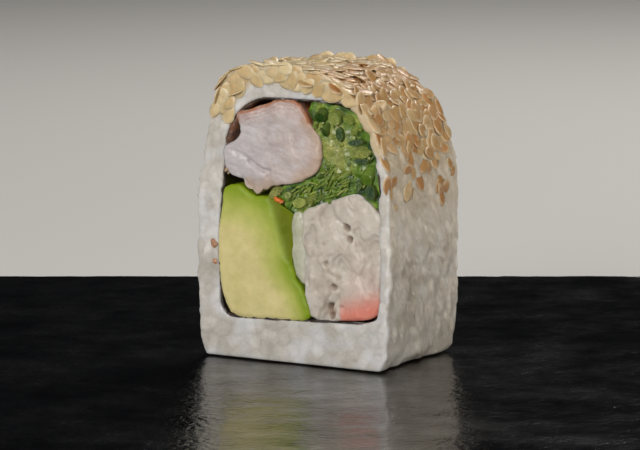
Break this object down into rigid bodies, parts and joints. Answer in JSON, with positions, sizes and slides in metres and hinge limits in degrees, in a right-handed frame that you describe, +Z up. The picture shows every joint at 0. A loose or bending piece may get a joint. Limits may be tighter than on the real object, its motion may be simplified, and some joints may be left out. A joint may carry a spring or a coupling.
{
  "type": "uramaki roll",
  "caption": "Cut piece of inside-out sushi roll, tall and pressed square, with sesame-topped rice around nori, prawn, avocado, crab stick and seaweed salad, standing on a square slate board.",
  "frame": {"origin": "centre of the slate board's underside", "axes": "+Z up; the board's sides lie along X and Y; the roll's front cut face looks towards -Y, turned 30 degrees towards -X"},
  "size_m": [0.16, 0.16, 0.054],
  "materials": {
    "slate": "dark, natural cleft, wet sheen",
    "rice": "moist, translucent, off white",
    "nori": "thin dark seaweed sheet, softened",
    "prawn": "cooked, pinkish white, moist",
    "avocado": "smooth, yellow to green",
    "pale_strip": "translucent greenish white",
    "crab_stick": "fibrous, off white with a coral edge",
    "seaweed_salad": "glossy chopped stems in greens"
  },
  "bodies": {
    "root": {"slate_board": "slate", "rice": "rice", "nori": "nori", "prawn": "prawn", "avocado": "avocado", "pale_strip": "pale_strip", "crab_stick": "crab_stick", "seaweed_salad": "seaweed_salad"}
  },
  "joints": []
}
